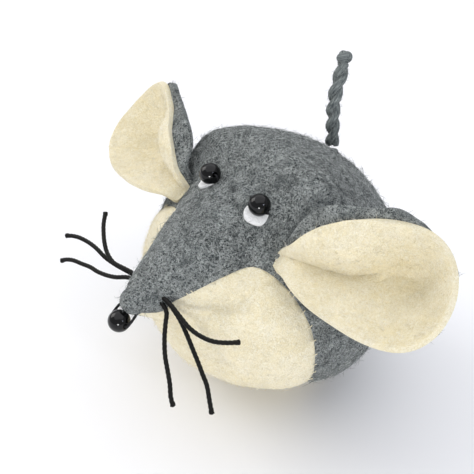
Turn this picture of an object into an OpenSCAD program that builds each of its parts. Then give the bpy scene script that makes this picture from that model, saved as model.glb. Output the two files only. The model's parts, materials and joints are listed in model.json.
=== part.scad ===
// Hand-sewn felt mouse: a stuffed ball of a body with a pointed snout.
// It faces -Y, its own left is +X, and it sits on the plane z = 0.

/* [Body] */
// Diameter of the stuffed ball of the body
body_d = 63; // [54:0.5:76]
// Diameter of the flattened patch that the mouse sits on
rest_d = 25; // [18:0.5:32]
// Thickness of the grey and cream wool felt
felt = 1.3; // [0.8:0.1:2]
// Clearance between the felt and what lies against it
felt_gap = 0.15; // [0.1:0.05:0.3]

/* [Snout] */
// Distance from the ball's centre to the tip of the snout
snout_reach = 42; // [35:0.5:52]
// Height of the snout's axis above the ball's centre, at the ball
snout_rise = 7; // [4:0.5:9]
// How much higher the snout's axis is at its tip
snout_lift = 2.7; // [0:0.1:4]
// Half angle of the cone of the snout
snout_spread = 25.5; // [24:0.5:32]
// Radius of the rounded tip of the snout
snout_tip_r = 3.4; // [3:0.1:4.5]

/* [Ears] */
// Length of an ear leaf from its root to its tip
ear_l = 38.5; // [30:0.5:48]
// Width of an ear leaf
ear_w = 28.5; // [22:0.5:38]
// How far the upper edge of an ear curls forward
ear_curl = 6.5; // [3:0.5:10]
// Angle that the ears are swept back
ear_sweep = 22; // [10:1:30]
// Angle that the ears are raised
ear_raise = 1; // [-5:1:15]
// Gap between an ear and the head that it is sewn to
ear_gap = 0.9; // [0.7:0.1:1.3]

/* [Eyes and nose] */
// Diameter of the glass beads of the eyes and the nose
bead_d = 5; // [4:0.1:6]
// Diameter of the hole through a bead
bead_bore_d = 1.1; // [1:0.05:1.4]
// Diameter of the sewing thread through a bead
thread_d = 0.95; // [0.7:0.05:1]
// Diameter of the white felt disc behind an eye
disc_d = 6.6; // [5.5:0.1:7.4]
// Thickness of the white felt disc
disc_t = 1; // [0.8:0.1:1.5]
// Distance of each eye from the middle of the head
eye_x = 7; // [5.5:0.1:8]
// Distance of the eyes ahead of the ball's centre
eye_ahead = 11.5; // [8:0.5:14]

/* [Whiskers] */
// Diameter of the waxed whisker cord
whisker_d = 1; // [0.8:0.05:1.2]
// Distance of the whisker hole behind the snout's tip
whisker_back = 6; // [5:0.5:10]

/* [Tail] */
// Diameter of the two-ply tail cord
tail_d = 3.2; // [2.5:0.1:4]
// Height of the tail above the felt
tail_l = 20.5; // [16:0.5:40]
// Diameter of the knot at the tail's end
tail_knot_d = 3.8; // [3.6:0.1:5]
// Distance of the tail's root behind the ball's centre
tail_back = 19.5; // [15:0.5:22]

/* [Stitching] */
// Length of one stitch across the belly seam
stitch_l = 2.2; // [1.5:0.1:3]
// Diameter of the stitching thread
stitch_d = 0.5; // [0.4:0.05:0.7]

/* [Hidden] */

ball_r = body_d / 2;
rise = sqrt(pow(ball_r, 2) - pow(rest_d / 2, 2));   // ball's centre above the rest face
bead_r = bead_d / 2;
run_gap = (bead_bore_d - thread_d) / 2;             // a bead turns on its thread
fine = 24;

cap = 3;             // length of the snout's rounded tip
nose_dip = 30;       // the nose bead hangs this far below straight ahead
nose_off = snout_tip_r + bead_r + felt_gap;
nose_ahead = snout_reach - cap + nose_off * cos(nose_dip);
nose_up = snout_rise + snout_lift - nose_off * sin(nose_dip);
// The ball's centre stands behind the origin, so the box is centred on Y.
centre_y = (nose_ahead + bead_r - ball_r) / 2;

// ---- shape of the stuffed body, in the ball's own frame ----

function smooth(a, b, x) = let (t = max(0, min(1, (x - a) / (b - a)))) t * t * (3 - 2 * t);
function soft_max(a, b, k) = let (h = max(k - abs(a - b), 0) / k) max(a, b) + h * h * k / 4;
function soft_min(a, b, k) = let (h = max(k - abs(a - b), 0) / k) min(a, b) - h * h * k / 4;

snout_bulge = 1;     // how far the snout's side bows out
chest_drop = 0.26;   // share by which the chest is lower than the ball under the snout
hump = 0.07;         // share by which the back rises above the ball
crease = 1.5;        // softness of the crease between snout and chest

// Radius and height of the head's round section, d ahead of the ball's centre.
function cone_r(d) = let (s = snout_reach - cap - d)
    s > 0 ? snout_tip_r + s * tan(snout_spread)
        + snout_bulge * sin(180 * min(1, s / (snout_reach - cap)))
    : snout_tip_r * sqrt(max(0, 1 - pow(s / cap, 2)));
function ball_w(d) = sqrt(max(0, pow(ball_r, 2) - d * d));
function head_r(d) = d > ball_r / 2 ? cone_r(d)
    : max(0.01, soft_min(cone_r(d), ball_w(d) - snout_rise + 2 * max(0, d), 3));
function head_z(d) = snout_rise + snout_lift * smooth(0, snout_reach, d);
// Upper height of the body's own section.
function lobe_h(d) = ball_w(d) * (1 - chest_drop * smooth(0, 0.5 * ball_r, d)
    + hump * smooth(-0.75 * ball_r, -0.1 * ball_r, d) * smooth(0.4 * ball_r, 0, d));

// Distance from height q on the middle plane to a circle, and to half an ellipse.
function to_circle(q, z, r, ux, uz) = let (o = q - z, b = o * uz, e = b * b - o * o + r * r)
    e > 0 ? max(0, sqrt(e) - b) : 0;
function to_half(q, w, h, ux, uz, side) = w < 0.001 ? 0
    : let (a = pow(ux / w, 2) + pow(uz / h, 2), b = q * uz / (h * h),
           c = pow(q / h, 2) - 1, e = b * b - a * c,
           t = e > 0 ? (sqrt(e) - b) / a : 0)
    t > 0 && side * (q + t * uz) >= -0.000001 ? t : 0;
function reach(d, q, f) = let (ux = sin(f), uz = cos(f))
    soft_max(to_circle(q, head_z(d), head_r(d), ux, uz),
        max(to_half(q, ball_w(d), lobe_h(d), ux, uz, 1),
            to_half(q, ball_w(d), ball_w(d), ux, uz, -1)), crease);
function skin_point(d, f) = let (q = head_z(d) * smooth(0, 0.9 * ball_r, d), t = reach(d, q, f))
    [t * sin(f), -d, q + t * cos(f)];

sides = 32;
ball_steps = [for (a = [-80 : 10 : 60]) ball_r * sin(a)];
last_ball = ball_r * sin(60);
snout_steps = [for (t = [0.15, 0.3, 0.45, 0.6, 0.74, 0.86, 0.95, 0.99])
    last_ball + (snout_reach - last_ball) * t];
steps = concat(ball_steps, snout_steps);
grid = [for (d = steps) [for (j = [0 : sides - 1]) skin_point(d, -360 * j / sides)]];
rump_tip = [0, ball_r, 0];
snout_tip = [0, -snout_reach, head_z(snout_reach)];

function unit(v) = v / norm(v);
function row(i) = i < 0 ? [for (j = [0 : sides - 1]) rump_tip]
    : i >= len(grid) ? [for (j = [0 : sides - 1]) snout_tip] : grid[i];
function normal(i, j) = unit(cross(grid[i][(j + 1) % sides] - grid[i][(j + sides - 1) % sides],
    row(i + 1)[j] - row(i - 1)[j]));
function inset(t) = concat(
    [rump_tip - [0, t, 0]],
    [for (i = [0 : len(grid) - 1]) for (j = [0 : sides - 1]) grid[i][j] - t * normal(i, j)],
    [snout_tip + [0, t, 0]]);
function tube_faces(rings, n) = concat(
    [for (j = [0 : n - 1]) [0, 1 + j, 1 + (j + 1) % n]],
    [for (i = [0 : rings - 2]) for (j = [0 : n - 1])
        let (a = 1 + i * n + j, b = 1 + i * n + (j + 1) % n) each [[a, a + n, b], [b, a + n, b + n]]],
    [for (j = [0 : n - 1]) let (k = 1 + (rings - 1) * n) [k + (j + 1) % n, k + j, k + n]]);

// The stuffed form, t inside the outer face of the felt, and cut flat underneath.
module form(t) {
    difference() {
        translate([0, centre_y, rise])
            polyhedron(inset(t), tube_faces(len(grid), sides), convexity = 4);
        translate([-body_d, -body_d - ball_r, t - body_d])
            cube([2 * body_d, 2 * (body_d + ball_r), body_d]);
    }
}

// ---- helpers ----

module rod(a, b, d) {
    v = b - a;
    translate(a)
        rotate([0, acos(v[2] / norm(v)), atan2(v[1], v[0])])
            cylinder(h = norm(v), d = d, $fn = fine);
}
module in_body() {
    translate([0, centre_y, rise]) children();
}
// A tube of n sides along a list of points.
function frame_u(t) = unit(cross(t, abs(t[2]) > 0.9 ? [1, 0, 0] : [0, 0, 1]));
function heading(p, i) = unit(p[min(i + 1, len(p) - 1)] - p[max(i - 1, 0)]);
function tube_points(p, d, n) = concat([p[0]],
    [for (i = [0 : len(p) - 1]) let (t = heading(p, i), u = frame_u(t), v = cross(t, u))
        for (j = [0 : n - 1]) p[i] + d / 2 * (cos(360 * j / n) * u + sin(360 * j / n) * v)],
    [p[len(p) - 1]]);
module tube(p, d, n) {
    polyhedron(tube_points(p, d, n), tube_faces(len(p), n));
}
// A smooth curve through control points, k steps to a span.
function catmull(a, b, c, e, t) = 0.5 * (2 * b + (c - a) * t
    + (2 * a - 5 * b + 4 * c - e) * t * t + (3 * b - a - 3 * c + e) * t * t * t);
function smooth_line(p, k) = let (n = len(p) - 1) concat(
    [for (i = [0 : n - 1]) for (s = [0 : k - 1])
        catmull(p[max(i - 1, 0)], p[i], p[i + 1], p[min(i + 2, n)], s / k)], [p[n]]);

// ---- felt skins and stuffing ----

// The belly seam seen from the side: [ahead of the ball's centre, above it].
snout_under = head_z(snout_reach) - snout_tip_r;
seam_line = smooth_line([
    [snout_reach - 4, snout_under + 1],
    [snout_reach - 9, snout_rise + 4],
    [0.75 * ball_r, snout_rise + 8.3],
    [0.52 * ball_r, snout_rise + 8.8],
    [0.43 * ball_r, 0.2 * ball_r],
    [0.38 * ball_r, -0.2 * ball_r],
    [0.27 * ball_r, -0.62 * ball_r],
    [0.05 * ball_r, -0.8 * ball_r],
    [-0.35 * ball_r, -0.83 * ball_r]], 4);
seam_gap = 0.1;
module belly_region(grow) {
    translate([0, centre_y, rise])
        rotate([90, 0, -90])
            linear_extrude(height = 2 * body_d, center = true)
                offset(delta = grow)
                    polygon(concat(seam_line, [[-body_d, -0.83 * ball_r], [-body_d, -body_d],
                        [body_d, -body_d], [body_d, snout_under]]));
}
// Round holes through the snout for the whiskers and through the back for the tail.
whisker_ahead = snout_reach - whisker_back;
whisker_up = 1.8;    // height of the hole above the snout's axis
whisker_at = [0, -whisker_ahead, head_z(whisker_ahead) + whisker_up];
bundle_d = whisker_d * (1 + 2 / sqrt(3));
whisker_hole_d = bundle_d + 2 * felt_gap + seam_gap;
module whisker_hole() {
    in_body()
        translate(whisker_at)
            rotate([0, 90, 0])
                cylinder(h = body_d, d = whisker_hole_d, center = true, $fn = fine);
}
tail_root = [0, tail_back, ball_w(tail_back)];
tail_gap = 0.3;      // between the tail's round foot and the felt
tail_slope = asin(tail_back / ball_r);
tail_pocket_d = tail_knot_d + 2 * felt_gap;
tail_depth = 7;      // depth of the knot under the felt's face
module tail_hole(d, depth) {
    in_body()
        translate(tail_root - [0, 0, depth])
            cylinder(h = depth + ball_r / 4, d = d, $fn = fine);
}

module skin_back() color("dimgray")
    difference() {
        form(0);
        form(felt);
        belly_region(seam_gap / 2);
        whisker_hole();
        tail_hole(tail_d + 2 * felt_gap, tail_depth);
    }
module skin_belly() color("cornsilk")
    intersection() {
        difference() {
            form(0);
            form(felt);
        }
        belly_region(-seam_gap / 2);
    }
module stuffing() color("white")
    difference() {
        form(felt + felt_gap);
        whisker_hole();
        tail_hole(tail_pocket_d, tail_depth);
    }

// Small stitches across the belly seam, from the neck down to the floor.
function side_x(d, z) = max(
    sqrt(max(0, pow(head_r(d), 2) - pow(z - head_z(d), 2))),
    ball_w(d) * sqrt(max(0, 1 - pow(z / (z > 0 ? lobe_h(d) : ball_w(d)), 2))));
function side_point(p) = [side_x(p[0], p[1]), -p[0], p[1]];
stitch_sink = 0.1;
first_stitch = 14;   // points of the seam line, clear of the ear
last_stitch = 26;
module belly_stitches() color("beige")
    for (side = [-1, 1])
        for (i = [first_stitch : last_stitch]) {
            a = side_point(seam_line[i]);
            along = unit(side_point(seam_line[i + 1]) - a);
            out = unit(a);
            across = unit(cross(out, along));
            c = a + (stitch_d / 2 - stitch_sink) * out;
            in_body()
                scale([side, 1, 1])
                    rod(c - across * stitch_l / 2, c + across * stitch_l / 2, stitch_d);
        }

// ---- ears ----

ear_ahead = 13;      // root of an ear, ahead of the ball's centre
ear_angle = 44;      // and round the head from the top
ear_roll = -132;     // turns the hollow of the ear forward and up
root_half = 4.5;     // half the width of the root
ear_root = skin_point(ear_ahead, ear_angle);
ear_out = unit([sin(ear_angle), -0.25, cos(ear_angle)]);
ear_layer_gap = 0.05;
leaf_c = 0.58;       // widest place along the leaf
leaf_rear = leaf_c / sqrt(1 - pow(2 * root_half / ear_w, 2));
function leaf_half(u) = ear_w / 2 * sqrt(max(0, 1 - pow((u - leaf_c)
    / (u < leaf_c ? leaf_rear : 1 - leaf_c), 2)));
function leaf_point(u, v) = [u * ear_l, v * leaf_half(u),
    -ear_curl * pow(2 * v * leaf_half(u) / ear_w, 2) * (v < 0 ? 1 : 0.7)];
leaf_us = [0, 0.08, 0.17, 0.27, 0.38, 0.5, 0.62, 0.74, 0.84, 0.92, 0.97, 0.995];
leaf_vs = [-1, -0.8, -0.6, -0.4, -0.2, 0, 0.2, 0.4, 0.6, 0.8, 1];
function leaf_normal(u, v) = unit(cross(leaf_point(u + 0.002, v) - leaf_point(u - 0.002, v),
    leaf_point(u, v + 0.01) - leaf_point(u, v - 0.01)));
function leaf_layer(t) = [for (u = leaf_us) for (v = leaf_vs)
    leaf_point(u, v) + t * leaf_normal(max(0.01, min(u, 0.9)), max(-0.95, min(v, 0.95)))];
module leaf(t0, t1) {
    nu = len(leaf_us);
    nv = len(leaf_vs);
    m = nu * nv;
    faces = concat(
        [for (i = [0 : nu - 2]) for (j = [0 : nv - 2]) let (a = i * nv + j)
            each [[a, a + 1, a + nv], [a + 1, a + nv + 1, a + nv]]],
        [for (i = [0 : nu - 2]) for (j = [0 : nv - 2]) let (a = m + i * nv + j)
            each [[a, a + nv, a + 1], [a + 1, a + nv, a + nv + 1]]],
        [for (i = [0 : nu - 2]) let (a = i * nv, b = i * nv + nv - 1)
            each [[a, a + nv, a + m], [a + nv, a + nv + m, a + m],
                [b, b + m, b + nv], [b + nv, b + m, b + nv + m]]],
        [for (j = [0 : nv - 2]) let (a = j, b = (nu - 1) * nv + j)
            each [[a, a + m, a + 1], [a + 1, a + m, a + 1 + m],
                [b, b + 1, b + m], [b + 1, b + 1 + m, b + m]]]);
    polyhedron(concat(leaf_layer(t0), leaf_layer(t1)), faces, convexity = 4);
}
module at_ear(side) {
    in_body()
        scale([side, 1, 1])
            translate(ear_root + (felt + ear_gap) * ear_out)
                rotate([ear_roll, -ear_raise, ear_sweep])
                    children();
}
module ear_back(side) {
    at_ear(side) leaf(ear_layer_gap / 2, felt + ear_layer_gap / 2);
}
module ear_front(side) {
    at_ear(side) leaf(-felt - ear_layer_gap / 2, -ear_layer_gap / 2);
}
module ear_stitching(side) {
    at_ear(side)
        for (v = [-0.6, 0, 0.6]) {
            a = leaf_point(0.01, v) + (felt + stitch_sink) * leaf_normal(0.03, v);
            b = leaf_point(0.07, v) + (felt + stitch_sink) * leaf_normal(0.07, v);
            rod(a, b, stitch_d);
        }
}
module ear_left_outer() color("dimgray") ear_back(1);
module ear_left_inner() color("cornsilk") ear_front(1);
module ear_left_stitches() color("gray") ear_stitching(1);
module ear_right_outer() color("dimgray") ear_back(-1);
module ear_right_inner() color("cornsilk") ear_front(-1);
module ear_right_stitches() color("gray") ear_stitching(-1);

// ---- eyes and nose ----

// Height of the head's face over a place on it.
function top_z(x, d) = max(head_z(d) + sqrt(max(0, pow(head_r(d), 2) - x * x)),
    lobe_h(d) * sqrt(max(0, 1 - pow(x / ball_w(d), 2))));
// An eye's own frame: its disc lies on the head, +Z out of the head, +Y back and up.
eye_spot = [eye_x, -eye_ahead, top_z(eye_x, eye_ahead)];
eye_tip = atan((top_z(eye_x, eye_ahead - 1) - top_z(eye_x, eye_ahead + 1)) / 2);
eye_lean = atan((top_z(eye_x - 1, eye_ahead) - top_z(eye_x + 1, eye_ahead)) / 2 * cos(eye_tip));
disc_lift = -0.1;     // the disc is pressed into the nap of the felt
bead_up_slope = 1.1; // the bead sits on the upper part of the disc
bead_centre_z = disc_lift + disc_t + felt_gap + bead_r;
module at_eye(side) {
    in_body()
        scale([side, 1, 1])
            translate(eye_spot)
                rotate([eye_tip, 0, 0])
                    rotate([0, eye_lean, 0])
                        children();
}
module disc(side) {
    difference() {
        at_eye(side)
            translate([0, 0, disc_lift - disc_t])
                cylinder(h = 2 * disc_t, d = disc_d, $fn = 32);
        form(0);
    }
}
module bead() {
    rotate([0, 90, 0])
        difference() {
            sphere(d = bead_d, $fn = 48);
            cylinder(h = 2 * bead_d, d = bead_bore_d, center = true, $fn = fine);
        }
}
thread_half = bead_r + 0.5;
module eye_bead(side) {
    at_eye(side) translate([0, bead_up_slope, bead_centre_z]) bead();
}
module eye_thread(side) {
    at_eye(side) {
        top = [0, bead_up_slope, bead_centre_z];
        for (s = [-1, 1])
            rod(top + [s * thread_half, 0, thread_d / 2],
                [s * thread_half, bead_up_slope, -felt / 2], thread_d);
        rod(top - [thread_half, 0, 0], top + [thread_half, 0, 0], thread_d);
    }
}
module eye_left_disc() color("white") disc(1);
module eye_left_bead() color("black") eye_bead(1);
module eye_left_thread() color("black") eye_thread(1);
module eye_right_disc() color("white") disc(-1);
module eye_right_bead() color("black") eye_bead(-1);
module eye_right_thread() color("black") eye_thread(-1);

nose_at = [0, -nose_ahead, nose_up];
module nose_bead() color("black")
    in_body() translate(nose_at) bead();
module nose_thread() color("black")
    in_body() {
        for (s = [-1, 1])
            rod(nose_at + [s * thread_half, 0, 0],
                [s * snout_tip_r * 0.8, cap - snout_reach, head_z(snout_reach)], thread_d);
        rod(nose_at - [thread_half, 0, 0], nose_at + [thread_half, 0, 0], thread_d);
    }

// ---- whiskers: three cords drawn right through the snout ----

// Points from the left tip to the right tip, from the middle of the whisker hole.
upper_route = [[25, 4.5, -1], [22.5, 3, -2], [20, 1.5, -2.5], [17, 0.5, -2.5], [14, 0, -2],
    [11, 0, -1], [8.5, 0, 0], [6.5, 0, 0.5], [4, 0, 0.6], [0, 0, 0.6], [-4, 0, 0.6],
    [-6.5, 0, 0.5], [-9, -0.5, 0.5], [-12, -1, 0.5], [-15, -0.5, 1], [-17.5, 0.5, 2],
    [-20, 2, 3], [-22, 3.5, 4], [-24, 5.5, 5]];
middle_route = [[26, -4, -15.5], [24, -3, -13.5], [22, -2, -11.5], [20, -1.5, -10],
    [18, -1, -8.5], [15.5, -0.5, -6.5], [13, 0, -4.5], [10.5, 0.5, -3], [8.5, 0.5, -1.5],
    [6.5, 0.5, -0.5], [4, 0.5, -0.3], [0, 0.5, -0.3], [-4, 0.5, -0.3], [-6.5, 0.5, -0.5],
    [-9.5, 0, -0.5], [-12.5, -0.5, -0.5], [-15.5, -1, 0], [-18.5, -1, 0.5],
    [-21.5, -1, 0.5], [-24.5, -1.5, 0.5], [-27, -2, 0], [-29, -3, -0.5]];
lower_route = [[19.5, -9, -15], [18, -8.5, -13.5], [16.5, -7.5, -11.5], [14.5, -6.5, -9.5],
    [12.5, -5.5, -7.5], [10.5, -4, -5], [9, -2.5, -3], [7.5, -1, -1.5], [5.5, -0.6, -0.5],
    [4, -0.6, -0.3], [0, -0.6, -0.3], [-4, -0.6, -0.3], [-5.5, -0.6, -0.4], [-7.5, -1, -1],
    [-10, -2, -2], [-13, -2.5, -3], [-16, -3, -3.5], [-19, -3, -4], [-22, -3.5, -4.5],
    [-25, -4, -5], [-27.5, -4.5, -6], [-29, -5, -7]];
route_d = 1;         // cord diameter that these routes lie side by side at
module whisker(route, away) {
    in_body()
        translate(whisker_at + (whisker_d - route_d) * away)
            tube(route, whisker_d, 8);
}
module whisker_upper() color("black") whisker(upper_route, [0, 0, 0.65]);
module whisker_middle() color("black") whisker(middle_route, [0, 0.6, -0.35]);
module whisker_lower() color("black") whisker(lower_route, [0, -0.6, -0.35]);

// ---- tail ----

// Points up the tail from its pivot, as shares of its length: back, up.
tail_line = smooth_line([[0, 0], [-0.02, 0.25], [-0.03, 0.5], [0, 0.7], [0.05, 0.86],
    [0.08, 1]], 2);
tail_pivot = tail_root + [0, 0, (tail_d / 2 + tail_gap) / cos(tail_slope)];
module at_pivot() {
    in_body() translate(tail_pivot) children();
}
module tail() color("dimgray")
    at_pivot() {
        tube([for (p = tail_line) [0, p[0] * tail_l, p[1] * tail_l]], tail_d, 12);
        sphere(d = tail_d * 0.98, $fn = fine);
    }
module tail_knot() color("dimgray")
    at_pivot()
        translate([0, 0.09 * tail_l, 1.04 * tail_l])
            sphere(d = tail_knot_d, $fn = 32);
module tail_anchor() color("dimgray")
    in_body() {
        rod(tail_root - [0, 0, tail_depth - tail_knot_d / 2], tail_root, tail_d);
        translate(tail_root - [0, 0, tail_depth - tail_knot_d / 2 - felt_gap])
            sphere(d = tail_knot_d, $fn = 32);
    }

skin_back();
skin_belly();
stuffing();
belly_stitches();
ear_left_outer();
ear_left_inner();
ear_left_stitches();
ear_right_outer();
ear_right_inner();
ear_right_stitches();
eye_left_disc();
eye_left_bead();
eye_left_thread();
eye_right_disc();
eye_right_bead();
eye_right_thread();
nose_bead();
nose_thread();
whisker_upper();
whisker_middle();
whisker_lower();
tail();
tail_knot();
tail_anchor();
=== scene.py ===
import bpy
import bmesh
import json
import math
import random
from mathutils import Matrix, Vector, noise
from mathutils.bvhtree import BVHTree
from mathutils.kdtree import KDTree


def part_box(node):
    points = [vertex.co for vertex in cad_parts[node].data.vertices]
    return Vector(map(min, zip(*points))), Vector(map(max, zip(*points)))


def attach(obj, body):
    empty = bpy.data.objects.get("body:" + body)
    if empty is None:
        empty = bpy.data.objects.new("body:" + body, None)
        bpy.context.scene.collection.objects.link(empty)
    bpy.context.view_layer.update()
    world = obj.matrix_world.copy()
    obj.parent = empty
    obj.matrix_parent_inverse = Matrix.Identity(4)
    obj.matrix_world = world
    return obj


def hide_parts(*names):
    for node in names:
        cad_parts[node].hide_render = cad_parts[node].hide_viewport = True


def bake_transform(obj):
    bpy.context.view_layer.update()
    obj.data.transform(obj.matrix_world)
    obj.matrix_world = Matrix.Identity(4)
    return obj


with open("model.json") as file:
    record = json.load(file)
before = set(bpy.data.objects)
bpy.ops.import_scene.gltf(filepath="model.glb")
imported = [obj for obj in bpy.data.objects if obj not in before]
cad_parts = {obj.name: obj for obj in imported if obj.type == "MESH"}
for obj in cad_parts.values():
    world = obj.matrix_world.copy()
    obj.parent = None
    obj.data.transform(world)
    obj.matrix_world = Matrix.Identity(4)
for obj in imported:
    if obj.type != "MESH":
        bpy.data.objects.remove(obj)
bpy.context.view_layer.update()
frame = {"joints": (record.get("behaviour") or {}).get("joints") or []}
joints = {j["name"]: j for j in frame["joints"]}
mm = 0.001


# Small maths that every piece uses

def smoothStep(a, b, x):
    t = max(0.0, min(1.0, (x - a) / (b - a)))
    return t * t * (3 - 2 * t)


def hill(x, middle, halfWidth):
    return math.exp(-((x - middle) / halfWidth) ** 2)


def softMax(a, b, k):
    h = max(k - abs(a - b), 0) / k
    return max(a, b) + h * h * k / 4


def softMin(a, b, k):
    return -softMax(-a, -b, k)


def smoothPath(points, stepsEach):
    # Catmull-Rom through the points, so that the line stays smooth between them
    path = []
    last = len(points) - 1
    for i in range(last):
        a, b, c, e = (points[max(i - 1, 0)], points[i], points[i + 1], points[min(i + 2, last)])
        for s in range(stepsEach):
            t = s / stepsEach
            path.append(0.5 * (2 * b + (c - a) * t + (2 * a - 5 * b + 4 * c - e) * t * t
                               + (3 * b - a - 3 * c + e) * t * t * t))
    path.append(points[last].copy())
    return path


def evenPath(points, count):
    # the same line cut into equal lengths
    lengths = [0.0]
    for i in range(1, len(points)):
        lengths.append(lengths[-1] + (points[i] - points[i - 1]).length)
    even, k = [], 0
    for n in range(count + 1):
        want = lengths[-1] * n / count
        while k < len(points) - 2 and lengths[k + 1] < want:
            k += 1
        share = (want - lengths[k]) / (lengths[k + 1] - lengths[k])
        even.append(points[k].lerp(points[k + 1], min(1.0, share)))
    return even, lengths[-1]


# Camera, before anything is made

cameraView = {"azimuth": 48.7, "elevation": 36.0, "roll": 0.5, "distance": 222 * mm,
              "aimFromNose": Vector((-12.5, 44.5, -5.6)) * mm, "lens": 66.15, "sensor": 36.0}


def makeCamera(view):
    noseLow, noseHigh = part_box("nose_bead")
    aim = (noseLow + noseHigh) / 2 + view["aimFromNose"]
    turn, rise = math.radians(view["azimuth"]), math.radians(view["elevation"])
    back = Vector((math.sin(turn) * math.cos(rise), -math.cos(turn) * math.cos(rise), math.sin(rise)))
    camera = bpy.data.objects.new("camera", bpy.data.cameras.new("camera"))
    bpy.context.scene.collection.objects.link(camera)
    camera.data.lens = view["lens"]
    camera.data.sensor_width = view["sensor"]
    camera.data.clip_start = 5 * mm
    camera.location = aim + back * view["distance"]
    look = (-back).to_track_quat("-Z", "Y").to_matrix()
    camera.rotation_euler = (look @ Matrix.Rotation(math.radians(view["roll"]), 3, "Z")).to_euler()
    bpy.context.scene.camera = camera


makeCamera(cameraView)
print("camera placed")


# Materials: each one is the real cloth, thread or glass

def linearColour(hexColour):
    channels = [int(hexColour[i:i + 2], 16) / 255 for i in (1, 3, 5)]
    return [c / 12.92 if c <= 0.04045 else ((c + 0.055) / 1.055) ** 2.4 for c in channels] + [1.0]


def newMaterial(name):
    material = bpy.data.materials.new(name)
    material.use_nodes = True
    tree = material.node_tree
    tree.nodes.clear()
    return material, tree


def addNode(tree, kind, settings=None, inputs=None):
    # settings are the node's own choices; inputs are socket values, or sockets to link from
    node = tree.nodes.new(kind)
    for key, value in (settings or {}).items():
        setattr(node, key, value)
    for key, value in (inputs or {}).items():
        if isinstance(value, bpy.types.NodeSocket):
            tree.links.new(value, node.inputs[key])
        else:
            node.inputs[key].default_value = value
    return node


def setRamp(node, stops):
    ramp = node.color_ramp
    while len(ramp.elements) > 1:
        ramp.elements.remove(ramp.elements[-1])
    ramp.elements[0].position, ramp.elements[0].color = stops[0][0], stops[0][1]
    for position, colour in stops[1:]:
        ramp.elements.new(position).color = colour
    return node.outputs["Color"]


black, white = (0, 0, 0, 1), (1, 1, 1, 1)

# Felt is loose wool pressed and shrunk into a mat: no weave, only curly hairs lying every way. The grey one
# is carded from light and dark wool, so it looks heathered; the others are one dyed colour, faintly cloudy.
feltFinishes = {
    "greyFelt": {"ground": "#565D5F", "cloud": "#424849", "grain": "#14191A", "grainShare": 0.8,
                 "lightHair": "#C6CBC8", "darkHair": "#14181A", "lightShare": 0.5, "darkShare": 0.7,
                 "nap": 0.25, "sheen": 0.1},
    "creamFelt": {"ground": "#F3E9CB", "cloud": "#E9DDB8", "grain": "#D9CCA2", "grainShare": 0.45,
                  "lightHair": "#FBF6E4", "darkHair": "#CFC198", "lightShare": 0.5, "darkShare": 0.3,
                  "nap": 0.16, "sheen": 0.15},
    "whiteFelt": {"ground": "#F6F6F5", "cloud": "#EDEDEC", "grain": "#D6D6D6", "grainShare": 0.3,
                  "lightHair": "#FFFFFF", "darkHair": "#CFCFD0", "lightShare": 0.5, "darkShare": 0.25,
                  "nap": 0.12, "sheen": 0.2},
}
hairSpacing = 0.85 * mm  # real hairs lie closer, but would be too fine to show
grainSize = 0.34 * mm    # gaps between tufts
hairTufts = 2.6 * mm
cloudSize = 9 * mm


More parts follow.
